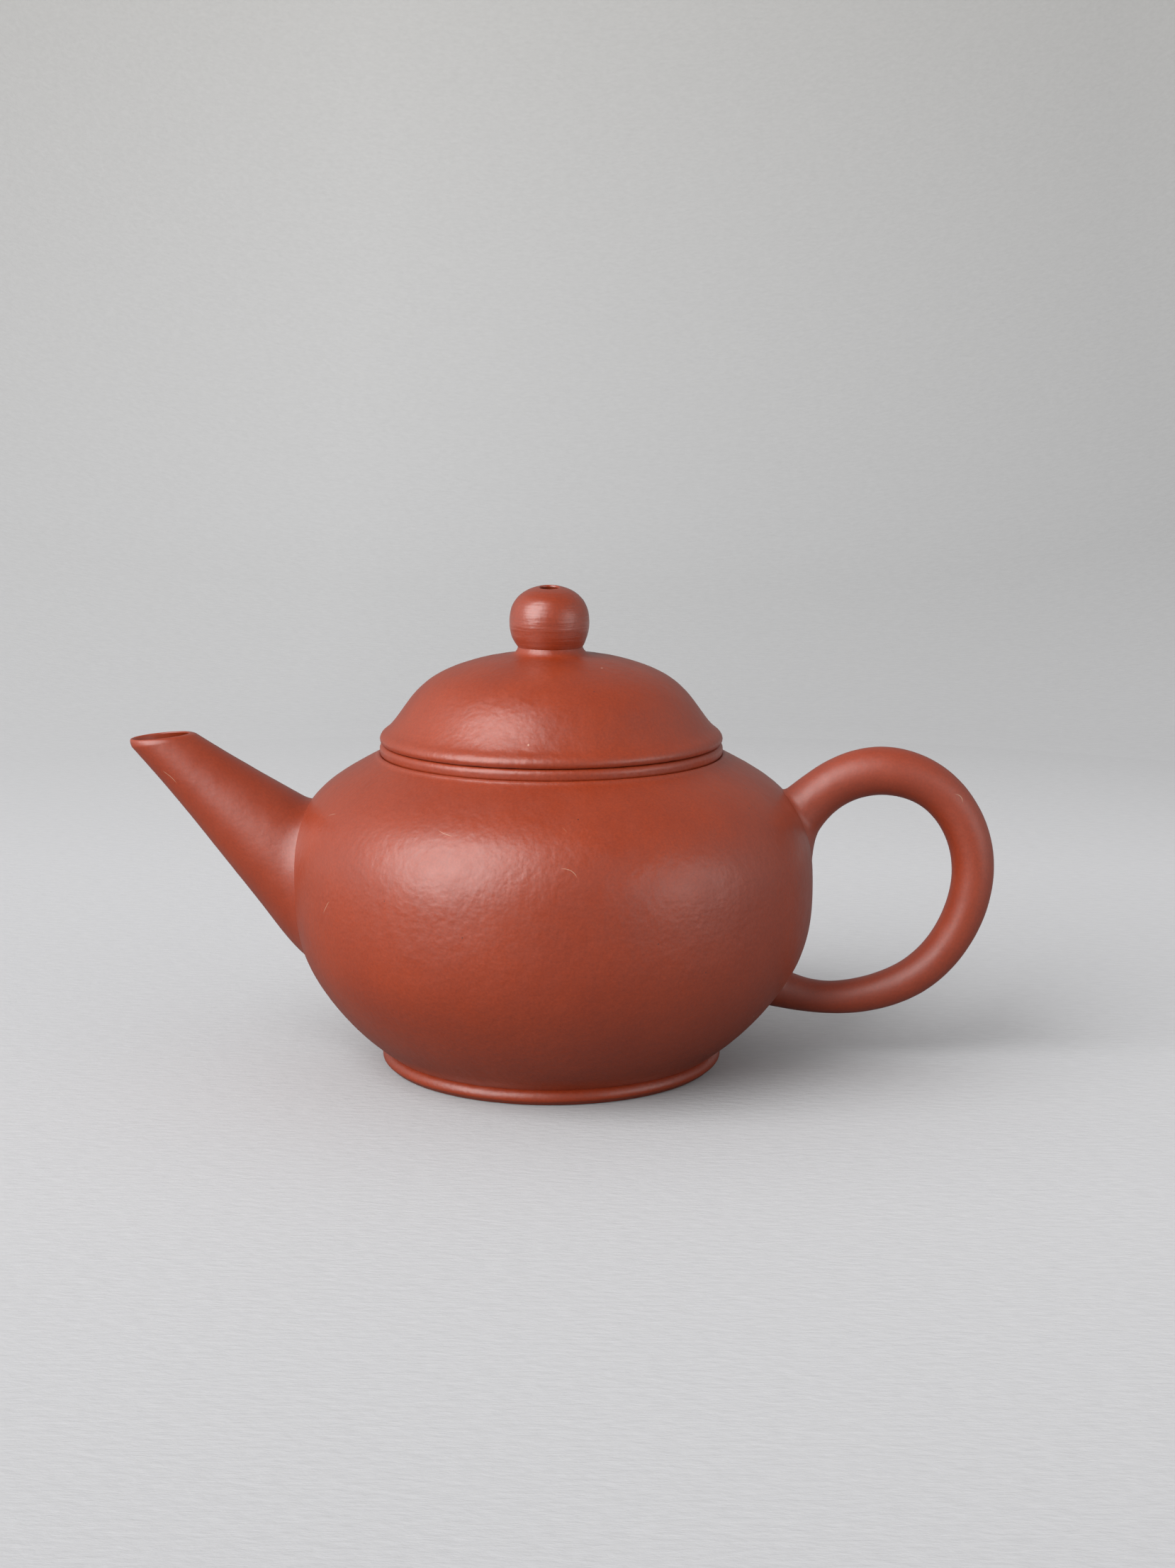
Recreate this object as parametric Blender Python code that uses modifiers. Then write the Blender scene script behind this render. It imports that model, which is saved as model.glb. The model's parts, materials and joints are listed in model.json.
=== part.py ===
"""A small round clay teapot with its lid, built from its separately made clay pieces.

Frame: +Z up, the origin on the foot's resting plane, at the middle of the object's length and width. The
spout points along -X and the handle along +X. Sizes below are in millimetres and angles in degrees;
Blender gets metres. Every size and place is measured from the pot's vertical axis, which stands at AXIS_X.
"""

import math

import bmesh
import bpy
from mathutils import Vector

MM = 0.001

# The handle reaches further out than the spout, so the pot's axis is a little off the middle of its length.
AXIS_X = -1.65

# Clearance left between two luted pieces, and the clay's thickness.
GAP = 0.3
WALL = 2.6
TURN_SEGMENTS = 48
SMALL_TURN_SEGMENTS = 32

# Belly: (radius, height) of the outer surface, from the foot up to the mouth ring.
BELLY_FOOT = (23.8, 2.45)
BELLY_JOINT = (30.3, 41.4)
SHOULDER_TOP = (24.3, 44.6)
BELLY_KNOTS = [
    BELLY_FOOT,
    (27.9, 6.0),
    (31.6, 10.0),
    (35.4, 16.0),
    (37.0, 25.5),
    (36.4, 34.5),
    (34.1, 38.1),
    BELLY_JOINT,
]
SHOULDER_KNOTS = [BELLY_JOINT, (27.6, 43.05), SHOULDER_TOP]

# Foot ring and base.
FOOT_INNER = 20.4
FOOT_CHAMFER = 0.6
FOOT_KNOTS = [(23.2, 0.0), (24.3, 0.8), (24.25, 1.5), (23.6, 2.15)]
BASE_UNDERSIDE = 1.8
BASE_THICKNESS = 2.9

# Mouth, and the lid that sits on it.
MOUTH_RADIUS = 20.6
MOUTH_BEAD = 24.1
MOUTH_RING_BOTTOM = 44.9
SEAT_HEIGHT = 46.2
FLANGE_CLEARANCE = 0.35
FLANGE_THICKNESS = 2.2
FLANGE_DEPTH = 8.6
FLANGE_LEAD_IN = 0.7

# Lid, in heights above the seat.
RIM_RADIUS = 24.1
RIM_BOTTOM = GAP
RIM_TOP = 1.2
DOME_BOTTOM = RIM_TOP + GAP
DOME_THICKNESS = 2.4
DOME_KNOTS = [(23.5, DOME_BOTTOM), (21.6, 3.8), (19.5, 6.7), (15.5, 9.6), (10.2, 11.6), (5.2, 12.8)]
KNOB_SEAT_RADIUS = 4.4
KNOB_SEAT_HEIGHT = 13.9
VENT_RADIUS = 1.45

# Knob, in heights above its own base.
KNOB_BASE = KNOB_SEAT_HEIGHT + GAP
KNOB_KNOTS = [(4.6, 0.0), (5.4, 0.9), (5.6, 2.6), (5.1, 4.7), (3.9, 6.5), (2.6, 7.5), (1.9, 7.85)]

# Spout: a straight taper. Its axis starts inside the belly and rises at SPOUT_ANGLE towards -X.
SPOUT_START = (-26.1, 20.3)
SPOUT_ANGLE = 41.5
SPOUT_PROFILE = [(0.0, 8.9), (5.0, 9.7), (11.0, 8.6), (18.5, 7.1), (26.0, 5.65), (35.0, 4.1), (46.0, 2.5)]
SPOUT_WALL_AT_ROOT = 2.2
SPOUT_WALL_AT_LIP = 1.0
SPOUT_SIDES_LEVEL = 10
LIP_CENTRE = (-55.0, 46.9)
LIP_TILT = 6.3
LIP_CUTTER_SIZE = 40.0

# Spout hole in the belly, with the ball strainer behind it.
SPOUT_HOLE_RADIUS = 5.5
SPOUT_HOLE_X = -36.0
SPOUT_HOLE_HEIGHT = 30.5
STRAINER_CENTRE_X = -35.2
STRAINER_RADIUS = 7.8
STRAINER_THICKNESS = 1.2
STRAINER_HOLE_RADIUS = 0.85
STRAINER_RINGS = [(0.0, 1), (24.0, 6), (46.0, 10)]

# Handle: (x, height, half thickness) along its centreline, from the upper root to the lower one.
HANDLE_KNOTS = [
    (31.5, 32.0, 5.5),
    (35.7, 36.5, 3.75),
    (40.0, 39.95, 3.35),
    (46.5, 42.2, 3.3),
    (54.6, 39.75, 3.15),
    (60.2, 30.2, 3.0),
    (58.7, 19.8, 2.85),
    (52.7, 12.3, 2.7),
    (44.4, 9.1, 2.5),
    (37.6, 8.95, 2.4),
    (30.5, 10.9, 3.0),
]
HANDLE_WIDENING = 1.1

CLAY_COLOUR = (0.33, 0.062, 0.03, 1.0)
INNER_CLAY_COLOUR = (0.24, 0.06, 0.035, 1.0)
CLAY_ROUGHNESS = 0.42


def clear_scene():
    for obj in list(bpy.data.objects):
        bpy.data.objects.remove(obj, do_unlink=True)


def new_collection(name):
    collection = bpy.data.collections.new(name)
    bpy.context.scene.collection.children.link(collection)
    return collection


def clay(name, colour=CLAY_COLOUR, roughness=CLAY_ROUGHNESS):
    """Fired, burnished clay."""
    material = bpy.data.materials.new(name)
    material.use_nodes = True
    shader = material.node_tree.nodes["Principled BSDF"]
    shader.inputs["Base Color"].default_value = colour
    shader.inputs["Roughness"].default_value = roughness
    shader.inputs["Metallic"].default_value = 0.0
    return material


def smooth(knots, per_span):
    """Points on a smooth curve through the knots. Its slope at a knot weighs the chords on both sides."""
    points = [Vector(knot) for knot in knots]
    chords = [(b - a).length for a, b in zip(points, points[1:])]
    slopes = [(b - a) / chord for a, b, chord in zip(points, points[1:], chords)]
    tangents = [slopes[0]]
    for before, after, chord_before, chord_after in zip(slopes, slopes[1:], chords, chords[1:]):
        tangents.append((before * chord_after + after * chord_before) / (chord_before + chord_after))
    tangents.append(slopes[-1])
    curve = []
    for i, chord in enumerate(chords):
        for step in range(per_span):
            t = step / per_span
            curve.append(
                points[i] * (2 * t**3 - 3 * t**2 + 1)
                + points[i + 1] * (3 * t**2 - 2 * t**3)
                + tangents[i] * chord * (t**3 - 2 * t**2 + t)
                + tangents[i + 1] * chord * (t**3 - t**2)
            )
    curve.append(points[-1])
    return [tuple(point) for point in curve]


def offset(outline, distance):
    """The (radius, height) outline moved sideways by distance, to the left of its direction of travel."""
    moved = []
    for i, point in enumerate(outline):
        ahead = Vector(outline[min(i + 1, len(outline) - 1)])
        behind = Vector(outline[max(i - 1, 0)])
        along = (ahead - behind).normalized()
        moved.append((point[0] - along.y * distance, point[1] + along.x * distance))
    return moved


def link(obj, collection, material=None, parent=None):
    collection.objects.link(obj)
    if material:
        obj.data.materials.append(material)
    obj.parent = parent
    return obj


def turned(
    name, outline, collection, material=None, parent=None, height=0.0, closed=True, segments=TURN_SEGMENTS
):
    """A body of revolution about Z. The outline runs down the outer side and, if closed, back up inside."""
    points = [(radius * MM, 0.0, z * MM) for radius, z in outline]
    edges = [(i, i + 1) for i in range(len(points) - 1)]
    if closed:
        edges.append((len(points) - 1, 0))
    mesh = bpy.data.meshes.new(name)
    mesh.from_pydata(points, edges, [])
    obj = bpy.data.objects.new(name, mesh)
    obj.location.z = height * MM
    screw = obj.modifiers.new("turn", "SCREW")
    screw.axis = "Z"
    screw.steps = segments
    screw.render_steps = segments
    screw.use_merge_vertices = True
    screw.merge_threshold = 0.01 * MM
    screw.use_smooth_shade = True
    return link(obj, collection, material, parent)


def bar(name, path, collection, material=None, parent=None, level=SPOUT_SIDES_LEVEL):
    """A round bar along a path in the XZ plane, made a mesh. Each path point is (x, height, radius)."""
    curve = bpy.data.curves.new(name, "CURVE")
    curve.dimensions = "3D"
    curve.bevel_depth = MM
    curve.bevel_resolution = level
    curve.use_fill_caps = True
    spline = curve.splines.new("POLY")
    spline.points.add(len(path) - 1)
    for point, (x, z, radius) in zip(spline.points, path):
        point.co = (x * MM, 0.0, z * MM, 1.0)
        point.radius = radius
    guide = bpy.data.objects.new(name + "_guide", curve)
    bpy.context.scene.collection.objects.link(guide)
    bpy.context.view_layer.update()
    graph = bpy.context.evaluated_depsgraph_get()
    mesh = bpy.data.meshes.new_from_object(guide.evaluated_get(graph))
    bpy.data.objects.remove(guide, do_unlink=True)
    shape = bmesh.new()
    shape.from_mesh(mesh)
    bmesh.ops.remove_doubles(shape, verts=shape.verts, dist=0.001 * MM)
    bmesh.ops.recalc_face_normals(shape, faces=shape.faces)
    shape.to_mesh(mesh)
    shape.free()
    mesh.shade_smooth()
    mesh.name = name
    return link(bpy.data.objects.new(name, mesh), collection, material, parent)


def as_cutter(obj):
    obj.hide_render = True
    obj.display_type = "WIRE"
    return obj


def boolean(obj, cutter, operation="DIFFERENCE"):
    modifier = obj.modifiers.new(cutter.name, "BOOLEAN")
    modifier.operation = operation
    modifier.solver = "EXACT"
    modifier.object = cutter


def belly_and_shoulder():
    """The outer surface from the foot up to the mouth ring, its inner side, and the joint's index in both."""
    belly = smooth(BELLY_KNOTS, 2)
    outer = belly + smooth(SHOULDER_KNOTS, 2)[1:]
    return outer, offset(outer, WALL), len(belly) - 1


def spout_point(distance):
    """A point on the spout's axis, at this distance from its start."""
    angle = math.radians(SPOUT_ANGLE)
    return SPOUT_START[0] - distance * math.cos(angle), SPOUT_START[1] + distance * math.sin(angle)


def belly_cutter(cutters, pot):
    """The belly and shoulder grown by the gap, as one solid. It trims the roots of spout and handle."""
    outer, _, _ = belly_and_shoulder()
    grown = offset(outer, -GAP)
    outline = [(0.0, grown[-1][1])] + grown[::-1] + [(0.0, grown[0][1])]
    return as_cutter(turned("belly_cutter", outline, cutters, parent=pot, closed=False))


def cavity_cutter(cutters, pot):
    """The hollow of the belly less the gap, as one solid. It trims the strainer."""
    outer, _, joint = belly_and_shoulder()
    shrunk = offset(outer[: joint + 1], WALL + GAP)
    outline = [(0.0, shrunk[-1][1])] + shrunk[::-1] + [(0.0, shrunk[0][1])]
    return as_cutter(turned("cavity_cutter", outline, cutters, parent=pot, closed=False))


def placed_cutter(name, location, rotation, cutters, pot):
    """Names and places the primitive just added, and makes it a cutter."""
    obj = bpy.context.object
    obj.name = name
    obj.location = Vector(location) * MM
    obj.rotation_euler = rotation
    for owner in list(obj.users_collection):
        owner.objects.unlink(obj)
    link(obj, cutters, parent=pot)
    return as_cutter(obj)


def hole_cutter(name, radius, length, location, rotation, cutters, pot, sides=24):
    bpy.ops.mesh.primitive_cylinder_add(vertices=sides, radius=radius * MM, depth=length * MM)
    return placed_cutter(name, location, rotation, cutters, pot)


def body_wall(parts, cutters, pot):
    """The belly's wall. Its lower end is cut level, rests on the foot ring and takes the base disc."""
    outer, inner, joint = belly_and_shoulder()
    slope = (inner[1][0] - inner[0][0]) / (inner[1][1] - inner[0][1])
    foot_end = (inner[0][0] - slope * (inner[0][1] - BELLY_FOOT[1]), BELLY_FOOT[1])
    outline = outer[joint::-1] + [foot_end] + inner[1 : joint + 1]
    obj = turned("body_wall", outline, parts, clay("body_wall"), pot)
    middle = (SPOUT_HOLE_X, 0.0, SPOUT_HOLE_HEIGHT)
    level = (0.0, math.radians(90), 0.0)
    boolean(obj, hole_cutter("spout_hole_cutter", SPOUT_HOLE_RADIUS, 4 * WALL, middle, level, cutters, pot))
    return foot_end[0], slope


def base_disc(parts, pot, wall_edge, wall_slope):
    """The floor, set inside the wall's lower end and following its slope."""
    top = BASE_UNDERSIDE + BASE_THICKNESS
    edge = wall_edge - GAP * math.hypot(1.0, wall_slope)
    top_edge = edge + wall_slope * (top - BELLY_FOOT[1])
    rim = [(top_edge, top), (edge, BELLY_FOOT[1]), (edge, BASE_UNDERSIDE)]
    outline = [(0.0, top)] + rim + [(0.0, BASE_UNDERSIDE)]
    turned("base_disc", outline, parts, clay("base_disc", INNER_CLAY_COLOUR), pot, closed=False)


def foot_ring(parts, pot):
    outer = smooth(FOOT_KNOTS, 2)
    top = outer[-1][1]
    inner = [(FOOT_INNER + FOOT_CHAMFER, 0.0), (FOOT_INNER, FOOT_CHAMFER), (FOOT_INNER, top)]
    turned("foot_ring", outer[::-1] + inner, parts, clay("foot_ring"), pot)


def shoulder_disc(parts, pot):
    """The upper disc luted on the wall, with the mouth cut through it."""
    outer, inner, joint = belly_and_shoulder()
    across = (Vector(outer[joint]) - Vector(inner[joint])).normalized()
    step = Vector((-across.y, across.x)) * GAP
    joint_end = [tuple(Vector(outer[joint]) + step), tuple(Vector(inner[joint]) + step)]
    mouth = [(MOUTH_RADIUS, inner[-1][1]), (MOUTH_RADIUS, SHOULDER_TOP[1])]
    outline = outer[:joint:-1] + joint_end + inner[joint + 1 :] + mouth
    turned("shoulder_disc", outline, parts, clay("shoulder_disc"), pot)


def rounded_ring(inner, outer, bottom, top):
    """Outline of a flat ring whose outer edge is a half round."""
    middle = (bottom + top) / 2
    half = (top - bottom) / 2
    outline = []
    for angle in (90, 45, 0, -45, -90):
        turn = math.radians(angle)
        outline.append((outer - half + half * math.cos(turn), middle + half * math.sin(turn)))
    return outline + [(inner, bottom), (inner, top)]


def mouth_ring(parts, pot):
    """The bead round the mouth, on which the lid sits."""
    outline = rounded_ring(MOUTH_RADIUS, MOUTH_BEAD, MOUTH_RING_BOTTOM, SEAT_HEIGHT)
    turned("mouth_ring", outline, parts, clay("mouth_ring"), pot)


def spout(parts, cutters, pot, trim):
    """The tapering spout, open from its root in the belly to its thin level lip."""
    outer = []
    channel = []
    last = SPOUT_PROFILE[-1][0]
    for distance, radius in smooth(SPOUT_PROFILE, 2):
        x, z = spout_point(distance)
        wall = SPOUT_WALL_AT_ROOT + (SPOUT_WALL_AT_LIP - SPOUT_WALL_AT_ROOT) * distance / last
        outer.append((x, z, radius))
        channel.append((x, z, radius - wall))
    before = (*spout_point(-1.0), channel[0][2])
    beyond = (*spout_point(last + 1.0), channel[-1][2])
    obj = bar("spout", outer, parts, clay("spout"), pot)
    bore = as_cutter(bar("spout_channel_cutter", [before, *channel, beyond], cutters, parent=pot))
    tilt = math.radians(LIP_TILT)
    above = Vector((-math.sin(tilt), 0.0, math.cos(tilt))) * LIP_CUTTER_SIZE / 2
    bpy.ops.mesh.primitive_cube_add(size=LIP_CUTTER_SIZE * MM)
    lip_centre = Vector((LIP_CENTRE[0], 0.0, LIP_CENTRE[1])) + above
    lip = placed_cutter("spout_lip_cutter", lip_centre, (0.0, -tilt, 0.0), cutters, pot)
    boolean(obj, trim)
    boolean(obj, bore)
    boolean(obj, lip)


def handle(parts, pot, trim):
    """The ear handle: a round bar, a little wider than thick, thickening into its upper root."""
    obj = bar("handle", smooth(HANDLE_KNOTS, 3), parts, clay("handle"), pot, level=8)
    for vertex in obj.data.vertices:
        vertex.co.y *= HANDLE_WIDENING
    boolean(obj, trim)


def spout_strainer(parts, cutters, pot, cavity):
    """A pierced ball filter on the belly's inner wall, over the spout hole."""
    centre = Vector((STRAINER_CENTRE_X, 0.0, SPOUT_HOLE_HEIGHT))
    quarter = [math.radians(angle) for angle in range(0, 91, 15)]
    shell = [(STRAINER_RADIUS * math.sin(a), STRAINER_RADIUS * math.cos(a)) for a in quarter]
    hollow_radius = STRAINER_RADIUS - STRAINER_THICKNESS
    hollow = [(hollow_radius * math.sin(a), hollow_radius * math.cos(a)) for a in reversed(quarter)]
    outline = shell + hollow
    material = clay("spout_strainer", INNER_CLAY_COLOUR)
    obj = turned("spout_strainer", outline, parts, material, pot, closed=False, segments=SMALL_TURN_SEGMENTS)
    obj.location = centre * MM
    obj.rotation_euler = (0.0, math.radians(90), 0.0)
    boolean(obj, cavity, "INTERSECT")
    length = 4 * STRAINER_THICKNESS
    for tilt, count in STRAINER_RINGS:
        lean = math.radians(tilt)
        for i in range(count):
            swing = 2 * math.pi * i / count
            sideways = Vector((0.0, math.sin(swing), math.cos(swing))) * math.sin(lean)
            direction = Vector((math.cos(lean), 0.0, 0.0)) + sideways
            rotation = direction.to_track_quat("Z", "Y").to_euler()
            middle = centre + direction * (STRAINER_RADIUS - STRAINER_THICKNESS / 2)
            name = f"strainer_hole_cutter_{tilt:.0f}_{i}"
            hole = hole_cutter(name, STRAINER_HOLE_RADIUS, length, middle, rotation, cutters, pot, sides=8)
            boolean(obj, hole)


def lid_flange(parts, lid):
    """The ring under the lid that locates it in the mouth."""
    outer = MOUTH_RADIUS - FLANGE_CLEARANCE
    inner = outer - FLANGE_THICKNESS
    lead_in = [(outer, FLANGE_LEAD_IN - FLANGE_DEPTH), (outer - FLANGE_LEAD_IN, -FLANGE_DEPTH)]
    outline = [(outer, 0.0)] + lead_in + [(inner, -FLANGE_DEPTH), (inner, 0.0)]
    turned("lid_flange", outline, parts, clay("lid_flange", INNER_CLAY_COLOUR), lid, SEAT_HEIGHT)
    return inner


def lid_rim(parts, lid, inner):
    """The flat plate whose rounded edge is the bead round the lid."""
    outline = rounded_ring(inner, RIM_RADIUS, RIM_BOTTOM, RIM_TOP)
    turned("lid_rim", outline, parts, clay("lid_rim"), lid, SEAT_HEIGHT)


def lid_dome(parts, lid, inner):
    """The domed top plate, with the low conical seat of the knob and the steam vent through both."""
    plate = smooth(DOME_KNOTS, 2)
    seat = (KNOB_SEAT_RADIUS, KNOB_SEAT_HEIGHT)
    under = [point for point in offset(plate, DOME_THICKNESS) if point[0] < inner]
    vent = [(VENT_RADIUS, under[-1][1]), (VENT_RADIUS, KNOB_SEAT_HEIGHT)]
    outline = [seat] + plate[::-1] + [(inner, DOME_BOTTOM)] + under + vent
    turned("lid_dome", outline, parts, clay("lid_dome"), lid, SEAT_HEIGHT)


def knob(parts, lid):
    outer = smooth(KNOB_KNOTS, 2)
    outline = [(VENT_RADIUS, outer[-1][1])] + outer[::-1] + [(VENT_RADIUS, 0.0)]
    turned("knob", outline, parts, clay("knob"), lid, SEAT_HEIGHT + KNOB_BASE, segments=SMALL_TURN_SEGMENTS)


def main():
    clear_scene()
    parts = new_collection("clay_teapot")
    cutters = new_collection("cutters")
    pot = bpy.data.objects.new("pot", None)
    lid = bpy.data.objects.new("lid_axis", None)
    for axis in (pot, lid):
        axis.location.x = AXIS_X * MM
        parts.objects.link(axis)
    trim = belly_cutter(cutters, pot)
    cavity = cavity_cutter(cutters, pot)
    wall_edge, wall_slope = body_wall(parts, cutters, pot)
    base_disc(parts, pot, wall_edge, wall_slope)
    foot_ring(parts, pot)
    shoulder_disc(parts, pot)
    mouth_ring(parts, pot)
    spout(parts, cutters, pot, trim)
    handle(parts, pot, trim)
    spout_strainer(parts, cutters, pot, cavity)
    inner = lid_flange(parts, lid)
    lid_rim(parts, lid, inner)
    lid_dome(parts, lid, inner)
    knob(parts, lid)


main()
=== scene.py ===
"""The looks of a small round teapot of fired red clay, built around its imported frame.

Lengths are millimetres, measured from the pot's own axis and from the table. place() turns them into the
frame's metres, where the pot's axis is the lid's hinge. Angles are degrees, unless a comment says radians.
"""

import json
import math

import bmesh
import bpy
import numpy as np
from mathutils import Matrix, Vector, noise


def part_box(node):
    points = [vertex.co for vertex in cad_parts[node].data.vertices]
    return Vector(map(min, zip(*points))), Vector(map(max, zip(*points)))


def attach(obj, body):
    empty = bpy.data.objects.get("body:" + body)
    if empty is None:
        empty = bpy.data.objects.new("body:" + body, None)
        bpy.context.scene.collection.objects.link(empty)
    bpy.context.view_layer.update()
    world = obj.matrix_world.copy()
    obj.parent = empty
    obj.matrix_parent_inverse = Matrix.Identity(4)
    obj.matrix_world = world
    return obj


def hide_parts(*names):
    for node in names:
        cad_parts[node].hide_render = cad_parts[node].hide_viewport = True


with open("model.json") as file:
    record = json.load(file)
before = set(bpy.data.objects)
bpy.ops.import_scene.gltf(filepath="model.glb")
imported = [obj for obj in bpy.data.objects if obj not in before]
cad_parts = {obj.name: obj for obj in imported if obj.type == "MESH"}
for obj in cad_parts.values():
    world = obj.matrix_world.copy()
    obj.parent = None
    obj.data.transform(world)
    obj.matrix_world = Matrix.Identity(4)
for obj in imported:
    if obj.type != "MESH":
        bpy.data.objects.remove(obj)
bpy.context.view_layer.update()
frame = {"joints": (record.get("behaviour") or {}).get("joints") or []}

MM = 0.001
LID_HINGE = next(joint for joint in frame["joints"] if joint["name"] == "lid_turn")["pos_m"]
AXIS_X = LID_HINGE[0] / MM
SEAT = LID_HINGE[2] / MM


def radius_of(node):
    """The radius of a turned node, from its width across the pot."""
    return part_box(node)[1].y / MM


def top_of(node):
    """The height of a node's top."""
    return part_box(node)[1].z / MM


# The pot, as (radius, height). The belly's outline starts inside the foot ring, and after the shoulder's
# groove it ends under the mouth ring.
WALL = 2.6
BELLY_KNOTS = [
    (22.9, 1.6),
    (26.1, 4.0),
    (30.2, 8.0),
    (33.25, 12.0),
    (35.4, 16.0),
    (36.8, 21.5),
    (37.05, 27.0),
    (36.3, 33.5),
    (34.0, 38.0),
    (30.05, 41.4),
    (24.9, 44.3),
]
SHOULDER_GROOVE = [(24.78, 44.46), (24.52, 44.68), (24.3, 44.7), (24.1, 44.58), (23.95, 44.5), (22.8, 44.5)]
SHOULDER_TOP = 44.6
SHOULDER_SETBACK = 0.3

MOUTH_RADIUS = 20.6
MOUTH_BEAD = [(23.2, SEAT), (23.93, 46.11), (24.23, 45.72), (24.25, 45.22), (24.17, 44.82), (23.95, 44.5)]
MOUTH_RING_BOTTOM = 42.6
MOUTH_RING_ROOT = [(22.6, 44.2), (21.5, MOUTH_RING_BOTTOM)]
MOUTH_EDGE_ROUND = 0.3

FOOT_SOLE_CENTRE = (21.0, 0.63)
FOOT_SOLE_ROUND = 0.6
FOOT_HEEL_CENTRE = (23.3, 0.58)
FOOT_HEEL_ROUND = 0.55
FOOT_BEAD = [(24.32, 0.85), (24.3, 1.45), (23.95, 2.0), (23.2, 2.4)]
FOOT_INSIDE = [(20.4, 2.2), (20.4, 0.7)]

# The floor curves up into the wall, and its edge and underside go down into the foot ring.
FLOOR_HEIGHT = top_of("base_disc")
FLOOR_CURVE = 6.0
FLOOR_CURVE_RISE = 4.0
FLOOR_EDGE_REACH = 0.9
FLOOR_EDGE_DROP = 0.4
FLOOR_EDGE = [(21.6, 2.6), (20.7, 2.3)]
UNDERSIDE_COVE = [(20.7, 1.2), (20.1, 1.8), (18.6, 1.85)]
UNDERSIDE = [(10.0, 2.15), (0.0, 2.25)]

# The lid, in heights above the seat. It rests a hair's breadth above the seat.
LID_REST = 0.05
ROLL_KNOTS = [(23.4, LID_REST), (23.98, 0.13), (24.22, 0.52), (24.14, 1.05), (23.75, 1.55), (23.2, 1.98)]
DOME_KNOTS = [
    (22.45, 2.75),
    (21.1, 4.55),
    (19.45, 6.72),
    (16.95, 8.95),
    (13.15, 10.75),
    (9.0, 11.88),
    (6.4, 12.28),
]
LID_THICKNESS = 2.4
NECK_BEND = [(5.35, 12.45), (4.85, 12.6)]
NECK_RADIUS = 4.55
NECK_TOP = 13.5
VENT_RADIUS = 1.33
VENT_EDGE = 0.22
FLANGE_RADIUS = radius_of("lid_flange")
FLANGE_THICKNESS = 2.2
FLANGE_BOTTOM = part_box("lid_flange")[0].z / MM - SEAT
FLANGE_TOP = 1.2
FLANGE_GAP = 0.1
FLANGE_LEAD_IN = 0.7
FLANGE_HEEL = 0.5

# The knob, with its height above the seat where it is widest, from which it rises and drops. It plugs into
# the neck. Its top is tipped forward by a slope that grows from a start above the widest height.
KNOB_RADIUS = 5.62
KNOB_HEIGHT = 16.85
KNOB_RISE = 5.1
KNOB_RISE_POWER = 2.4
KNOB_DROP = 5.72
KNOB_DROP_POWER = 2.0
KNOB_PLUG_DEPTH = 0.2
KNOB_PLUG_INSET = 0.4
VENT_SLOPE = 0.13
VENT_SLOPE_START = 1.5
VENT_SLOPE_POWER = 4
BORE_MARGIN = 0.05
BORE_TOP_DROP = 0.3

# The spout: a straight taper whose axis starts inside the belly and rises towards -X, as (distance, radius).
# Its wall thins between two distances, and by the uneven share it is thinner above and thicker below.
SPOUT_START = (-26.16, 20.23)
SPOUT_ANGLE = 41.5
SPOUT_KNOTS = [
    (0.0, 10.0),
    (7.0, 9.75),
    (12.0, 8.7),
    (19.0, 7.2),
    (27.0, 5.62),
    (36.0, 4.08),
    (46.0, 2.75),
]
SPOUT_WALL_FADE = [12.0, 40.0]
SPOUT_WALL_AT_ROOT = 2.2
SPOUT_WALL_AT_LIP = 0.68
SPOUT_WALL_UNEVEN = 0.3
SPOUT_HOLE = (-36.0, 30.5)
SPOUT_HOLE_RADIUS = 5.5

# The lip: how far its rounding runs inside, and outside on the upper and the lower side, where it is blunter.
LIP_CENTRE = (-54.9, 47.02)
LIP_TILT = 5.0
LIP_ROUND_INSIDE = 0.5
LIP_ROUND_ABOVE = 0.6
LIP_ROUND_BELOW = 1.6
LIP_BLUNTNESS = 0.5

# The strainer's holes are in rings, as (tilt from the middle, number of holes). Its mesh is turned by a
# hair, in radians, so that its edges don't fall on the edges of the drills.
STRAINER_CENTRE = (-35.2, 30.5)
STRAINER_RADIUS = 7.8
STRAINER_THICKNESS = 1.2
STRAINER_SINK = 0.9
STRAINER_EDGE_TILT = 89.0
STRAINER_TURN = 0.02
STRAINER_HOLE_RADIUS = 0.85
STRAINER_RINGS = [(0.0, 1), (24.0, 6), (46.0, 10)]

# The handle: (x, height, half thickness) along its centreline, from the upper root to the lower one.
HANDLE_KNOTS = [
    (31.5, 32.0, 5.5),
    (35.65, 36.48, 3.72),
    (40.0, 40.05, 3.32),
    (46.5, 42.05, 3.42),
    (54.5, 39.6, 3.2),
    (60.1, 30.2, 3.03),
    (58.6, 19.85, 2.86),
    (52.65, 12.4, 2.7),
    (44.4, 9.2, 2.47),
    (37.6, 9.05, 2.35),
    (30.5, 10.9, 3.0),
]
HANDLE_WIDENING = 1.1
HANDLE_UPPER_ROOT = (34.6, 0.0, 35.4)
HANDLE_LOWER_ROOT = (33.0, 0.0, 10.0)

# Where a limb meets the belly: how far the luting clay runs up the limb and out over the belly. The second
# pair is for the spout's two sides, and for the web inside the handle's upper root.
SPOUT_REACH = (0.9, 0.25)
SPOUT_SIDE_REACH = (3.2, 0.4)
HANDLE_REACH = (0.7, 0.3)
HANDLE_WEB_REACH = (2.7, 2.4)
HANDLE_WEB_POWER = 1.5
ROOT_CRISPNESS = 0.35
ROOT_TUCK = 0.02
ROOT_SINK = 0.5
ROOT_SKIRT = 0.35

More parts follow.
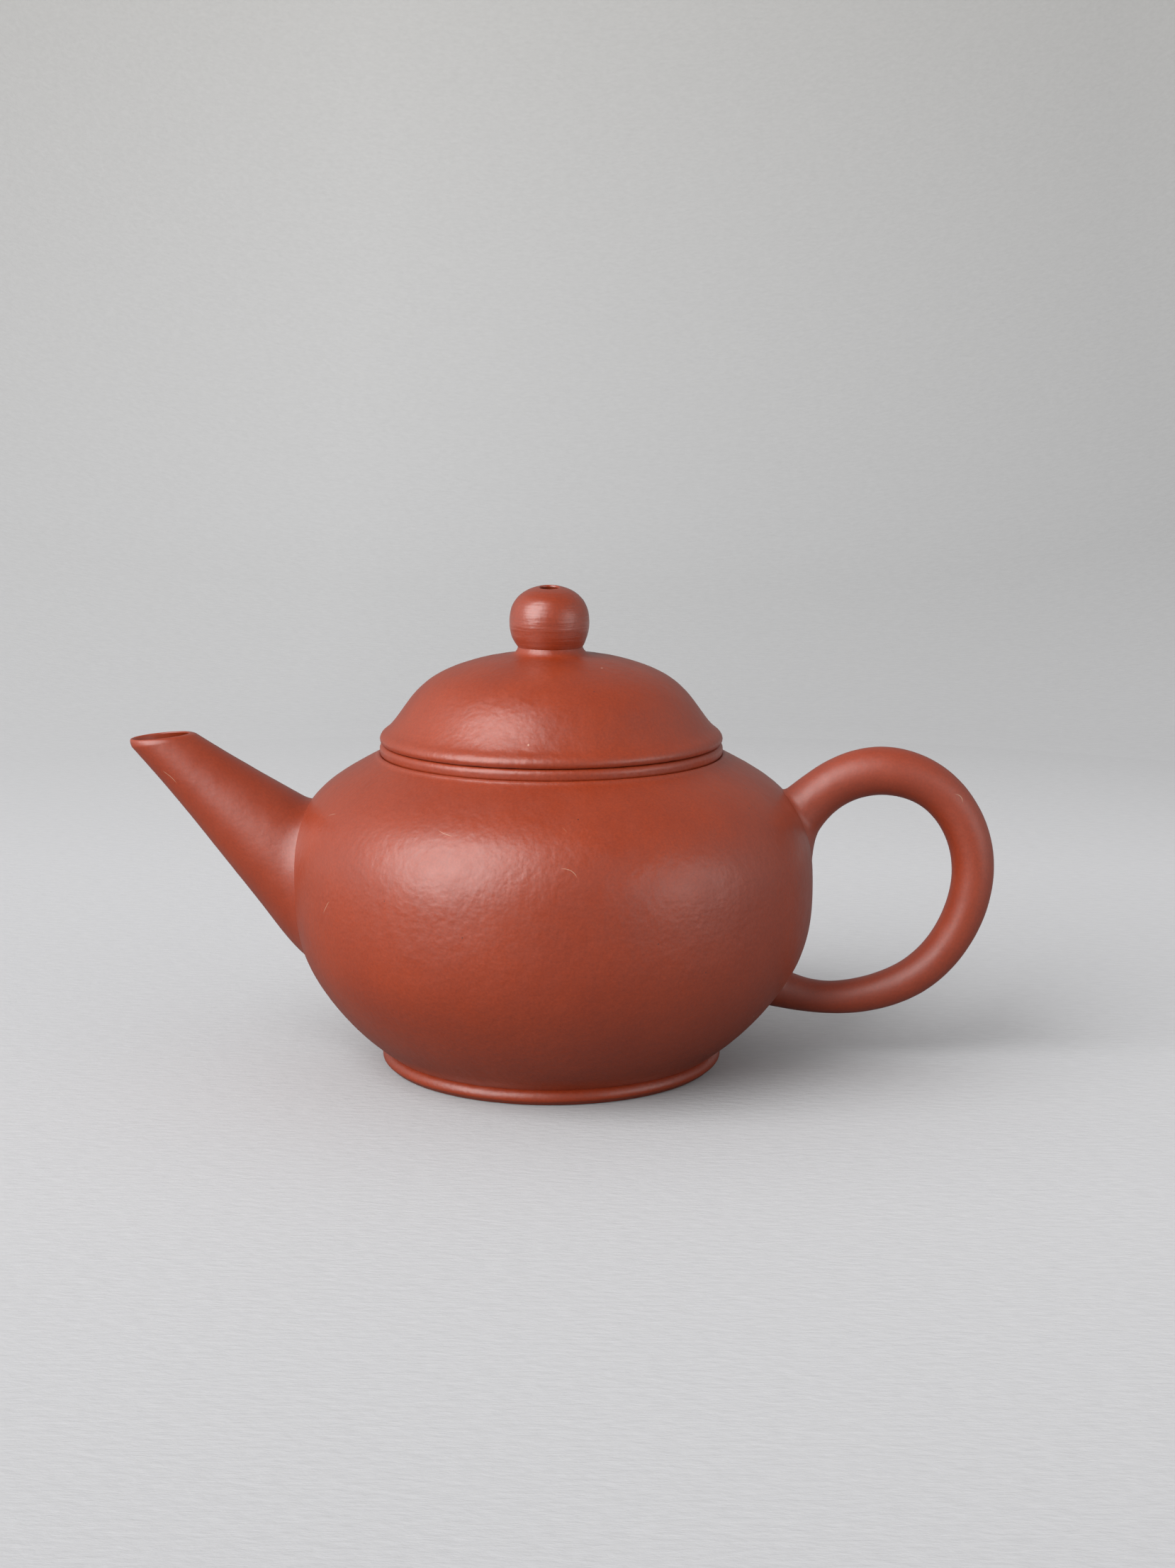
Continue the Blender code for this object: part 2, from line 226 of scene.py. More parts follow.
# The hand-made pot leans a little: sideways shift of its centreline as (height, shift). The shift fades out
# between these distances from the axis.
LEAN_KNOTS = [
    (0.0, 0.0),
    (12.0, 0.24),
    (20.0, 0.32),
    (34.0, 0.12),
    (45.0, 0.0),
    (58.0, 0.0),
    (61.0, -0.28),
    (70.0, -0.3),
]
LEAN_FADE = (38.0, 48.0)

# Burnishing leaves facets, taller than wide, and a broader unevenness. A wet cloth leaves level lines. The
# shifts only keep the three patterns apart.
FACET_STRETCH = 1.5
BROAD_WIDTH = 9.0
BROAD_HEIGHT = 8.0
BROAD_SHARE = 1.2
BROAD_SHIFT = 40.0
LINE_SPACING = 0.55
LINE_SHIFT = 7.0

# How finely the meshes are made: points around, and lengths between points.
SEGMENTS = 384
RIM_SEGMENTS = 360
BASE_SEGMENTS = 240
KNOB_SEGMENTS = 200
LIMB_SEGMENTS = 96
STEP = 0.45
BASE_STEP = 0.6
LID_STEP = 0.3
LID_INNER_STEP = 0.5
FINE_STEP = 0.12
MOUTH_STEP = 0.1
LIMB_STEP = 0.1

# Points closer together than this are welded.
SAME_POINT = 1e-4


# ---------------------------------------------------------------- curves and outlines


def spline(knots, step=STEP):
    """A curve of continuous curvature through the knots, as points about step apart."""
    knots = np.array(knots, float)
    chords = np.linalg.norm(np.diff(knots[:, :2], axis=0), axis=1)
    at = np.concatenate([[0.0], np.cumsum(chords)])
    count = len(at)
    matrix = np.eye(count)
    bends = np.zeros_like(knots)
    for i in range(1, count - 1):
        matrix[i, i - 1 : i + 2] = chords[i - 1] / 6, (chords[i - 1] + chords[i]) / 3, chords[i] / 6
        bends[i] = (knots[i + 1] - knots[i]) / chords[i] - (knots[i] - knots[i - 1]) / chords[i - 1]
    bends = np.linalg.solve(matrix, bends)
    where = np.linspace(0.0, at[-1], max(2, round(at[-1] / step)) + 1)
    i = np.clip(np.searchsorted(at, where, side="right") - 1, 0, count - 2)
    span = chords[i][:, None]
    left = (at[i + 1] - where)[:, None]
    right = (where - at[i])[:, None]
    return (
        (bends[i] * left**3 + bends[i + 1] * right**3) / (6 * span)
        + (knots[i] / span - bends[i] * span / 6) * left
        + (knots[i + 1] / span - bends[i + 1] * span / 6) * right
    )


def bezier(points, count):
    """Points on the Bezier curve of these control points, which may be arrays of points."""
    share = np.linspace(0.0, 1.0, count)
    level = [np.asarray(point, float)[None] for point in points]
    share = share.reshape((count,) + (1,) * (level[0].ndim - 1))
    while len(level) > 1:
        level = [a * (1 - share) + b * share for a, b in zip(level, level[1:])]
    return level[0]


def offset(outline, distance):
    """The outline moved sideways by distance, to the left of its direction of travel."""
    along = np.gradient(outline, axis=0)
    along /= np.linalg.norm(along, axis=1)[:, None]
    return outline + distance * np.stack([-along[:, 1], along[:, 0]], axis=1)


def straight(start, end, step=STEP):
    """A straight run of points about step apart, both ends included."""
    count = max(1, round(math.dist(start, end) / step))
    return np.linspace(start, end, count + 1)


def joined(*runs):
    """One outline from several runs, without doubled points."""
    points = np.concatenate([np.atleast_2d(np.array(run, float)) for run in runs])
    apart = np.linalg.norm(np.diff(points, axis=0), axis=1) > SAME_POINT
    return points[np.concatenate([[True], apart])]


def arc(centre, radius, start, end, count):
    """Points along an arc between two angles in degrees."""
    angles = np.radians(np.linspace(start, end, count))
    return np.stack([centre[0] + radius * np.cos(angles), centre[1] + radius * np.sin(angles)], axis=1)


BELLY_OUTER = spline(BELLY_KNOTS)
BELLY_INNER = offset(BELLY_OUTER, WALL)


def belly_depth(points):
    """How far points stand outside the belly's surface, and the surface's outward normals beside them."""
    points = np.asarray(points, float)
    radius = np.hypot(points[..., 0], points[..., 1])
    height = points[..., 2]
    slope = np.gradient(BELLY_OUTER[:, 0], BELLY_OUTER[:, 1])
    surface = np.interp(height, BELLY_OUTER[:, 1], BELLY_OUTER[:, 0])
    steepness = np.interp(height, BELLY_OUTER[:, 1], slope)
    normals = np.stack([points[..., 0] / radius, points[..., 1] / radius, -steepness], axis=-1)
    normals /= np.linalg.norm(normals, axis=-1)[..., None]
    return (radius - surface) / np.sqrt(1 + steepness**2), normals


# ---------------------------------------------------------------- meshes


def lean(points):
    """Shifts points sideways as the hand-made pot leans."""
    knots = np.array(LEAN_KNOTS)
    shift = np.interp(points[:, 2], knots[:, 0], knots[:, 1])
    reach = np.hypot(points[:, 0], points[:, 1])
    fade = 1.0 - np.clip((reach - LEAN_FADE[0]) / (LEAN_FADE[1] - LEAN_FADE[0]), 0.0, 1.0)
    moved = points.copy()
    moved[:, 0] += shift * fade
    return moved


def place(points):
    """Turns millimetres from the pot's axis into the frame's metres."""
    return (points + np.array([AXIS_X, 0.0, 0.0])) * MM


def skin(name, rings, loop=True):
    """A mesh over rings of points, of shape (rings, points, 3).

    With loop the last ring joins the first.
    """
    rows, columns, _ = rings.shape
    index = np.arange(rows * columns).reshape(rows, columns)
    here = index if loop else index[:-1]
    there = np.roll(index, -1, axis=0) if loop else index[1:]
    faces = np.stack([here, np.roll(here, -1, axis=1), np.roll(there, -1, axis=1), there], axis=-1)
    points = place(lean(rings.reshape(-1, 3)))
    mesh = bpy.data.meshes.new(name)
    mesh.from_pydata(points.tolist(), [], faces.reshape(-1, 4).tolist())
    return finished(name, mesh)


def finished(name, mesh):
    """Welds poles, turns the faces outward and links the mesh as an object."""
    shape = bmesh.new()
    shape.from_mesh(mesh)
    bmesh.ops.remove_doubles(shape, verts=shape.verts, dist=SAME_POINT * MM)
    if shape.calc_volume(signed=True) < 0:
        bmesh.ops.reverse_faces(shape, faces=shape.faces)
    shape.to_mesh(mesh)
    shape.free()
    obj = bpy.data.objects.new(name, mesh)
    bpy.context.scene.collection.objects.link(obj)
    return obj


def turned(name, outline, segments=SEGMENTS, loop=True):
    """A body of revolution about the pot's axis."""
    angles = np.linspace(0.0, 2 * math.pi, segments, endpoint=False)
    outline = np.asarray(outline)
    rings = np.empty((len(outline), segments, 3))
    rings[..., 0] = outline[:, :1] * np.cos(angles)
    rings[..., 1] = outline[:, :1] * np.sin(angles)
    rings[..., 2] = outline[:, 1:]
    return skin(name, rings, loop)


def burnish(obj, depth=0.018, size=1.6, marks=0.0):
    """Presses facets of this size and the broad unevenness into the surface, and a wet cloth's marks."""
    mesh = obj.data
    points = np.empty(len(mesh.vertices) * 3)
    normals = np.empty(len(mesh.vertices) * 3)
    mesh.vertices.foreach_get("co", points)
    mesh.vertex_normals.foreach_get("vector", normals)
    points = points.reshape(-1, 3)
    normals = normals.reshape(-1, 3)
    heights = np.empty(len(points))
    for i, (x, y, z) in enumerate(points / MM):
        facet = noise.noise(Vector((x / size, y / size, z / (FACET_STRETCH * size))))
        broad = noise.noise(Vector((x / BROAD_WIDTH, y / BROAD_WIDTH, z / BROAD_HEIGHT + BROAD_SHIFT)))
        heights[i] = depth * facet + BROAD_SHARE * depth * broad
        if marks:
            line = Vector((x / BROAD_WIDTH, y / BROAD_WIDTH, z / LINE_SPACING + LINE_SHIFT))
            heights[i] += marks * noise.noise(line)
    mesh.vertices.foreach_set("co", (points + normals * heights[:, None] * MM).ravel())
    mesh.update()


def shade(obj, crease=38.0):
    """Smooth shading, except at edges sharper than the crease angle."""
    obj.data.shade_smooth()
    obj.data.set_sharp_from_angle(angle=math.radians(crease))


def carve(obj, cutter):
    """Cuts the cutter out of the object for good, and removes the cutter."""
    modifier = obj.modifiers.new("carve", "BOOLEAN")
    modifier.operation = "DIFFERENCE"
    modifier.solver = "EXACT"
    modifier.object = cutter
    graph = bpy.context.evaluated_depsgraph_get()
    mesh = bpy.data.meshes.new_from_object(obj.evaluated_get(graph))
    obj.modifiers.clear()
    obj.data = mesh
    bpy.data.objects.remove(cutter, do_unlink=True)


def rod(start, end, radius, segments=48):
    """A closed straight bar from start to end, used as a drill."""
    start, end = np.array(start, float), np.array(end, float)
    along = (end - start) / np.linalg.norm(end - start)
    side = np.cross(along, [0.0, 0.0, 1.0] if abs(along[2]) < 0.9 else [1.0, 0.0, 0.0])
    side /= np.linalg.norm(side)
    other = np.cross(along, side)
    angles = np.linspace(0.0, 2 * math.pi, segments, endpoint=False)[:, None]
    ring = radius * (np.cos(angles) * side + np.sin(angles) * other)
    rings = np.stack([start + 0 * ring, start + ring, end + ring, end + 0 * ring])
    return skin("drill", rings, loop=False)


def together(objects):
    """One object made of several, which are removed."""
    shape = bmesh.new()
    for obj in objects:
        shape.from_mesh(obj.data)
    for obj in objects[1:]:
        bpy.data.objects.remove(obj, do_unlink=True)
    shape.to_mesh(objects[0].data)
    shape.free()
    return objects[0]


# ---------------------------------------------------------------- clay

# The vertex attribute that marks narrow bores, where painted shade darkens the clay and dims its sheen.
SHADED = "shaded"

# The strength of the sheen, and how it grows as the surface turns away.
SHEEN = 0.92
GRAZING_SHEEN = 1.08
GRAZING_RANGE = (0.4, 0.95)
# In marked bores, painted shade dims the sheen to this share.
PAINTED_SHADE_SHEEN = 0.1

OUTER_RED = (0.4, 0.046, 0.0065)
OUTER_DEEP = (0.355, 0.039, 0.0055)
INNER_RED = (0.27, 0.05, 0.026)
INNER_DEEP = (0.22, 0.04, 0.02)
DARK_SPECK = (0.10, 0.02, 0.012)
PALE_SPECK = (0.75, 0.42, 0.30)
PALE_SPECK_SHARE = 0.85
PALE_FIBRE = (0.72, 0.48, 0.32)
PALE_FIBRE_SHARE = 0.5
FIBRE_EDGE = (0.0098, 0.0034)
SPECK_CORE = 0.6
CLOUD_EDGE = (0.35, 0.65)
GRAIN_BRIGHTNESS = (0.9, 1.09)
ROUGHNESS_SPREAD = 0.045
DIMPLE_SHARE = 0.9

# Most of a noise lies between these two values.
NOISE_RANGE = (0.3, 0.7)

# Marked bores take this share of a painted shade colour, and the light that clay throws off this share of a
# grey.
PAINTED_SHADE_CLAY = (0.06, 0.012, 0.006)
PAINTED_SHADE_SHARE = 0.6
BOUNCED_CLAY = (0.13, 0.11, 0.1)
BOUNCED_SHARE = 0.6


class Nodes:
    """Short calls for building a node tree."""

    def __init__(self, tree):
        self.tree = tree

    def set(self, socket, value):
        """Links the value to the socket if it is a socket too, and else sets it. Colours need no alpha."""
        if isinstance(value, bpy.types.NodeSocket):
            self.tree.links.new(value, socket)
        elif socket.type == "RGBA":
            socket.default_value = (*value, 1.0)
        else:
            socket.default_value = value

    def add(self, kind, inputs=None, **settings):
        node = self.tree.nodes.new(kind)
        for key, value in settings.items():
            setattr(node, key, value)
        for key, value in (inputs or {}).items():
            self.set(node.inputs[key], value)
        return node

    def position(self):
        """The place on the object, in millimetres."""
        metres = self.add("ShaderNodeTexCoord").outputs["Object"]
        return self.stretched(metres, (1 / MM, 1 / MM, 1 / MM))

    def light_path(self, kind):
        return self.add("ShaderNodeLightPath").outputs[kind]

    def noise(self, vector, scale, detail=2.0, roughness=0.5):
        inputs = {"Vector": vector, "Scale": scale, "Detail": detail, "Roughness": roughness}
        return self.add("ShaderNodeTexNoise", inputs).outputs["Fac"]

    def stretched(self, vector, scale):
        return self.add("ShaderNodeMapping", {"Vector": vector, "Scale": scale}).outputs[0]

    def ranged(self, value, low, high, to_low=0.0, to_high=1.0):
        inputs = {"Value": value, "From Min": low, "From Max": high, "To Min": to_low, "To Max": to_high}
        return self.add("ShaderNodeMapRange", inputs).outputs[0]

    def math(self, operation, a, b=0.0):
        return self.add("ShaderNodeMath", {0: a, 1: b}, operation=operation).outputs[0]

    def grey(self, tone):
        return self.add("ShaderNodeCombineColor", {0: tone, 1: tone, 2: tone}).outputs[0]

    def mix(self, share, a, b, blend="MIX"):
        node = self.add("ShaderNodeMix", {"Factor": share}, data_type="RGBA", blend_type=blend)
        for name, value in (("A", a), ("B", b)):
            self.set(next(s for s in node.inputs if s.name == name and s.type == "RGBA"), value)
        return next(s for s in node.outputs if s.type == "RGBA")

    def mix_value(self, share, a, b):
        return self.add("ShaderNodeMix", {0: share, 2: a, 3: b}, data_type="FLOAT").outputs[0]

    def bump(self, height, distance, normal=None):
        inputs = {"Height": height, "Distance": distance * MM, "Strength": 1.0}
        if normal:
            inputs["Normal"] = normal
        return self.add("ShaderNodeBump", inputs).outputs[0]

    def specks(self, vector, spacing, radius, kept):
        """Small round dots, one in each cell of about the spacing, of which this share is kept."""
        inputs = {"Vector": vector, "Scale": 1.0 / spacing}
        cells = self.add("ShaderNodeTexVoronoi", inputs)
        dot = self.ranged(cells.outputs["Distance"], radius / spacing, SPECK_CORE * radius / spacing)
        chosen = self.add("ShaderNodeSeparateColor", {0: cells.outputs["Color"]}).outputs[0]
        return self.math("MULTIPLY", dot, self.math("LESS_THAN", chosen, kept))


def reds(tree, position, colour, deep):
    """Two close reds in soft clouds, with a fine grain."""
    clouds = tree.noise(position, scale=0.09, detail=4.0, roughness=0.6)
    base = tree.mix(tree.ranged(clouds, *CLOUD_EDGE), colour, deep)
    grain = tree.ranged(tree.noise(position, scale=3.2), *NOISE_RANGE, *GRAIN_BRIGHTNESS)
    return tree.mix(1.0, base, tree.grey(grain), "MULTIPLY")


def specked(tree, position, base):
    """Dark and pale specks in the clay, and short pale fibres on it."""
    dark = tree.specks(position, spacing=2.1, radius=0.13, kept=0.12)
    base = tree.mix(dark, base, DARK_SPECK)
    pale = tree.specks(tree.stretched(position, (1.0, 1.0, 0.8)), spacing=5.2, radius=0.17, kept=0.3)
    base = tree.mix(tree.math("MULTIPLY", pale, PALE_SPECK_SHARE), base, PALE_SPECK)
    waves = tree.noise(position, scale=0.22, detail=0.0)
    line = tree.ranged(tree.math("ABSOLUTE", tree.math("SUBTRACT", waves, 0.5)), *FIBRE_EDGE)
    fibre = tree.math("MULTIPLY", line, tree.specks(position, spacing=8.0, radius=1.4, kept=0.3))
    return tree.mix(tree.math("MULTIPLY", fibre, PALE_FIBRE_SHARE), base, PALE_FIBRE)


def relief(tree, position, facets, wiped, grain):
    """Bumps of these heights: burnished facets, a wet cloth's strokes and the clay's grain."""
    upright = tree.noise(tree.stretched(position, (1.0, 1.0, 0.5)), scale=1.0, roughness=0.45)
    dimples = tree.noise(tree.stretched(position, (0.8, 0.8, 1.0)), scale=1.25, detail=1.0)
    normal = tree.bump(tree.math("ADD", upright, tree.math("MULTIPLY", dimples, DIMPLE_SHARE)), facets)
    normal = tree.bump(tree.noise(position, scale=5.0, roughness=0.6), grain, normal)
    if wiped:
        strokes = tree.noise(tree.stretched(position, (0.12, 0.12, 1.5)), scale=1.0, roughness=0.6)
        normal = tree.bump(strokes, wiped, normal)
    return normal


def clay(
    name,
    colour,
    deep,
    roughness=0.42,
    coat=0.55,
    coat_roughness=0.39,
    facets=0.052,
    wiped=0.0,
    grain=0.004,
):
    """Fired red clay: two close reds, fine grain, specks and burnished facets under a low sheen."""
    material = bpy.data.materials.new(name)
    material.use_nodes = True
    tree = Nodes(material.node_tree)
    inputs = material.node_tree.nodes["Principled BSDF"].inputs
    position = tree.position()

    base = specked(tree, position, reds(tree, position, colour, deep))
    # Painted shade: marked bores are darkened towards a near-black red and lose most of their sheen.
    shaded = tree.add("ShaderNodeAttribute", attribute_name=SHADED).outputs["Fac"]
    base = tree.mix(tree.math("MULTIPLY", shaded, PAINTED_SHADE_SHARE), base, PAINTED_SHADE_CLAY)
    bounced = tree.math("MULTIPLY", tree.light_path("Is Diffuse Ray"), BOUNCED_SHARE)
    tree.set(inputs["Base Color"], tree.mix(bounced, base, BOUNCED_CLAY))

    patches = tree.noise(position, scale=0.35, detail=3.0)
    lowest, highest = roughness - ROUGHNESS_SPREAD, roughness + ROUGHNESS_SPREAD
    patches = tree.ranged(patches, *NOISE_RANGE, lowest, highest)
    tree.set(inputs["Roughness"], patches)
    tree.set(inputs["IOR"], 1.5)
    grazing = tree.add("ShaderNodeLayerWeight", {"Blend": 0.5}).outputs["Facing"]
    sheen = tree.ranged(grazing, *GRAZING_RANGE, 1.0, GRAZING_SHEEN)
    sheen = tree.math("MULTIPLY", sheen, tree.ranged(shaded, 0.0, 1.0, 1.0, PAINTED_SHADE_SHEEN))
    tree.set(inputs["Specular IOR Level"], tree.math("MULTIPLY", sheen, SHEEN))
    tree.set(inputs["Coat Weight"], tree.math("MULTIPLY", sheen, coat))
    tree.set(inputs["Coat Roughness"], coat_roughness)
    tree.set(inputs["Coat IOR"], 1.45)

    normal = relief(tree, position, facets, wiped, grain)
    tree.set(inputs["Normal"], normal)
    tree.set(inputs["Coat Normal"], normal)
    return material


def piece(obj, body, nodes, material):
    """Makes the object a piece of the teapot, standing for these CAD nodes."""
    obj.data.materials.clear()
    obj.data.materials.append(material)
    shade(obj)
    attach(obj, body)
    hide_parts(*nodes)
    return obj


# ---------------------------------------------------------------- the pot


def belly(burnished):
    """The wall from the foot to the mouth, the shoulder that closes it, and the hole into the spout."""
    inner_end = BELLY_INNER[-1]
    opening = MOUTH_RADIUS + SHOULDER_SETBACK
    mouth = [(opening, SHOULDER_TOP), (opening, inner_end[1])]
    inner_top = straight(mouth[-1], inner_end)
    groove = spline(SHOULDER_GROOVE, FINE_STEP)
    outline = joined(BELLY_OUTER, groove, mouth, inner_top, BELLY_INNER[::-2])
    obj = turned("belly", outline)
    burnish(obj)
    x, z = SPOUT_HOLE
    start, end = (x - 2 * WALL, 0.0, z), (x + 3 * WALL, 0.0, z)
    carve(obj, rod(start, end, SPOUT_HOLE_RADIUS, segments=96))
    return piece(obj, "pot", ["body_wall", "shoulder_disc"], burnished)


def mouth_ring(burnished):
    """The bead round the mouth. Its flat top is the lid's seat, and its inner face lines the mouth."""
    edge_start = SEAT - MOUTH_EDGE_ROUND
    inside = straight((MOUTH_RADIUS, MOUTH_RING_BOTTOM), (MOUTH_RADIUS, edge_start))
    edge = arc((MOUTH_RADIUS + MOUTH_EDGE_ROUND, edge_start), MOUTH_EDGE_ROUND, 180, 90, count=5)
    outline = joined(spline(MOUTH_BEAD, MOUTH_STEP), MOUTH_RING_ROOT, inside, edge)
    obj = turned("mouth_ring", outline, RIM_SEGMENTS)
    burnish(obj, depth=0.012)
    return piece(obj, "pot", ["mouth_ring"], burnished)


def foot_ring(burnished):
    """The rounded ring the pot stands on."""
    heel = arc(FOOT_HEEL_CENTRE, FOOT_HEEL_ROUND, 270, 330, count=8)
    bead = spline([heel[-1], *FOOT_BEAD], FINE_STEP)
    sole = arc(FOOT_SOLE_CENTRE, FOOT_SOLE_ROUND, 180, 270, count=8)
    outline = joined(straight(sole[-1], heel[0]), heel, bead, FOOT_INSIDE, sole)
    obj = turned("foot_ring", outline, RIM_SEGMENTS)
    burnish(obj, depth=0.012)
    return piece(obj, "pot", ["foot_ring"], burnished)


def base_disc(raw):
    """The floor, curving up into the wall, and the recessed underside inside the foot ring."""
    rise = FLOOR_HEIGHT + FLOOR_CURVE_RISE
    corner, wall_radius = np.interp([FLOOR_HEIGHT, rise], BELLY_INNER[:, 1], BELLY_INNER[:, 0])
    curve = [(corner - FLOOR_CURVE, FLOOR_HEIGHT), (corner, FLOOR_HEIGHT), (wall_radius, rise)]
    curve = bezier(curve, count=20)
    edge = [(wall_radius + FLOOR_EDGE_REACH, rise - FLOOR_EDGE_DROP), *FLOOR_EDGE]
    cove = bezier(UNDERSIDE_COVE, count=10)
    underside = spline([cove[-1], *UNDERSIDE], BASE_STEP)
    floor = straight((0.0, FLOOR_HEIGHT), curve[0], BASE_STEP)
    outline = joined(floor, curve, edge, cove, underside)
    obj = turned("base_disc", outline, BASE_SEGMENTS, loop=False)
    burnish(obj, depth=0.03, size=2.4, marks=0.004)
    return piece(obj, "pot", ["base_disc"], raw)


# ---------------------------------------------------------------- limbs luted on the belly


def crossing(generator, depth=0.0):
    """For each column of points, running inward from outside the belly, the row where it passes the depth."""
    height, _ = belly_depth(generator)
    below = height + depth < 0
    first = np.argmax(below, axis=0)
    columns = np.arange(generator.shape[1])
    before = height[first - 1, columns] + depth
    after = height[first, columns] + depth
    return first - 1 + before / (before - after)


def at_rows(generator, rows):
    """The points of each column at fractional rows, one set of rows for each column."""
    rows = np.clip(rows, 0, len(generator) - 1.001)
    low = rows.astype(int)
    share = (rows - low)[..., None]
    columns = np.arange(generator.shape[1])
    return generator[low, columns] * (1 - share) + generator[low + 1, columns] * share


def root(generator, centre, pitch, reach_up, reach_out):
    """The fillet of luting clay at a limb's root, from the limb to below the belly's surface.

    The generator's rows are pitch apart and run inward. The reaches hold one length for each column.
    Returns the row where each column leaves the limb, and the fillet's rings.
    """
    meet = crossing(generator)
    leave = meet - reach_up / pitch
    on_limb = at_rows(generator, leave)
    corner = at_rows(generator, meet)
    _, normals = belly_depth(corner)
    outward = corner - centre
    outward -= normals * np.sum(outward * normals, axis=-1)[:, None]
    outward /= np.linalg.norm(outward, axis=-1)[:, None]
    on_belly = corner + outward * reach_out[:, None]
    above, normals = belly_depth(on_belly)
    on_belly -= normals * (above + ROOT_TUCK)[:, None]
    sunk = on_belly + outward * ROOT_SKIRT - normals * ROOT_SINK
    bend = corner + (on_limb - corner) * ROOT_CRISPNESS
    fillet = bezier([on_limb, bend, on_belly], count=11)
    return leave, np.concatenate([fillet, sunk[None]])


def spout_surface(distances, radii, angles):
    """Points around the spout's axis, one ring for each distance along it."""
    angle = math.radians(SPOUT_ANGLE)
    across = np.array([math.sin(angle), 0.0, math.cos(angle)])
    sideways = np.array([0.0, 1.0, 0.0])
    centres = np.zeros((len(distances), 1, 3))
    centres[:, 0, 0] = SPOUT_START[0] - distances * math.cos(angle)
    centres[:, 0, 2] = SPOUT_START[1] + distances * math.sin(angle)
    ring = np.cos(angles)[:, None] * across + np.sin(angles)[:, None] * sideways
    return centres + radii[..., None] * ring


def lip_rows(surface):
    """The fractional row at which each column of the spout passes through the plane of its mouth."""
    tilt = math.radians(LIP_TILT)
    normal = np.array([-math.sin(tilt), 0.0, math.cos(tilt)])
    above = (surface - np.array([LIP_CENTRE[0], 0.0, LIP_CENTRE[1]])) @ normal
    first = np.argmax(above < 0, axis=0)
    columns = np.arange(surface.shape[1])
    before = above[first - 1, columns]
    after = above[first, columns]
    return first - 1 + before / (before - after)


def spread(start, end, count):
    """Rows between start and end, each an array over the columns."""
    share = np.linspace(0.0, 1.0, count)[:, None]
    return start * (1 - share) + end * share


def spout(smooth):
    """The tapering spout, hollow from its rounded lip to the hole in the belly."""
    pitch = LIMB_STEP
    profile = spline(SPOUT_KNOTS, pitch)
    distances = np.arange(SPOUT_KNOTS[-1][0], 0.0, -pitch)
    radii = np.interp(distances, profile[:, 0], profile[:, 1])
    walls = np.interp(distances, SPOUT_WALL_FADE, [SPOUT_WALL_AT_ROOT, SPOUT_WALL_AT_LIP])
    angles = np.linspace(0.0, 2 * math.pi, LIMB_SEGMENTS, endpoint=False)
    below = (1 - np.cos(angles)) / 2
    uneven = 1 + SPOUT_WALL_UNEVEN * (2 * below - 1)
    outer = spout_surface(distances, radii[:, None], angles)
    inner = spout_surface(distances, radii[:, None] - walls[:, None] * uneven, angles)

    lip_out, lip_in = lip_rows(outer), lip_rows(inner)
    inside_start = lip_in + LIP_ROUND_INSIDE / pitch
    outside_start = lip_out + (LIP_ROUND_ABOVE + (LIP_ROUND_BELOW - LIP_ROUND_ABOVE) * below) / pitch
    lip_ends = [(inner, inside_start), (inner, lip_in), (outer, lip_out), (outer, outside_start)]
    controls = [at_rows(surface, rows) for surface, rows in lip_ends]
    controls[2] += (controls[1] - controls[2]) * (LIP_BLUNTNESS * below)[:, None]
    lip = bezier(controls, count=18)
    centre = np.array([SPOUT_HOLE[0], 0.0, SPOUT_HOLE[1]])
    beside = np.abs(np.sin(angles))
    reaches = zip(SPOUT_REACH, SPOUT_SIDE_REACH)
    reach_up, reach_out = (low + (high - low) * beside for low, high in reaches)
    leave, fillet = root(outer, centre, pitch, reach_up, reach_out)
    inner_end = crossing(inner, ROOT_SINK)
    outside = at_rows(outer, spread(outside_start, leave, count=110))
    inside = at_rows(inner, spread(inner_end, inside_start, count=60))
    rings = np.concatenate([inside, lip[1:], outside[1:], fillet[1:]])
    obj = skin("spout", rings)
    burnish(obj, depth=0.012)
    return piece(obj, "pot", ["spout"], smooth)


def handle_surface(path, angles):
    """Oval rings round the handle's path, wider across than in its plane."""
    along = np.gradient(path[:, :2], axis=0)
    along /= np.linalg.norm(along, axis=1)[:, None]
    zeros = np.zeros(len(path))
    centres = np.stack([path[:, 0], zeros, path[:, 1]], axis=1)
    outward = np.stack([-along[:, 1], zeros, along[:, 0]], axis=1)
    thick = path[:, 2][:, None, None]
    ring = np.cos(angles)[None, :, None] * outward[:, None, :]
    ring = ring + HANDLE_WIDENING * np.sin(angles)[None, :, None] * np.array([0.0, 1.0, 0.0])
    return centres[:, None, :] + thick * ring


